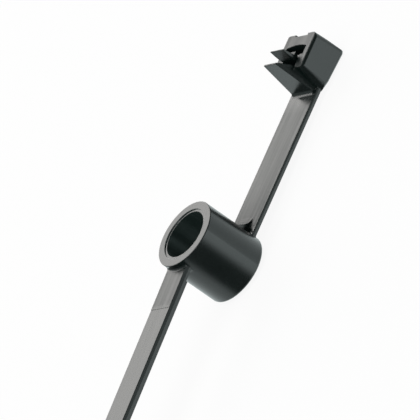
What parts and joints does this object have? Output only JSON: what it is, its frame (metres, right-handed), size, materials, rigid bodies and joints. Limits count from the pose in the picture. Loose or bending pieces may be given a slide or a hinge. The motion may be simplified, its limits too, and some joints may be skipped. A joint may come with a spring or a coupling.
{
  "type": "stud mount cable tie",
  "caption": "One-piece cable tie whose head strap and toothed tail strap run from opposite sides and ends of a bored barrel that presses onto a weld stud.",
  "frame": {"origin": "centre of the stud bore at the face of the barrel that sits on the surface", "axes": "+Z along the stud bore, away from the surface; +X along the tail strap; the head strap runs towards -X"},
  "size_m": [0.1879, 0.0116, 0.0117],
  "materials": {
    "nylon": "satin"
  },
  "bodies": {
    "root": {"cable_tie": "nylon"}
  },
  "joints": []
}
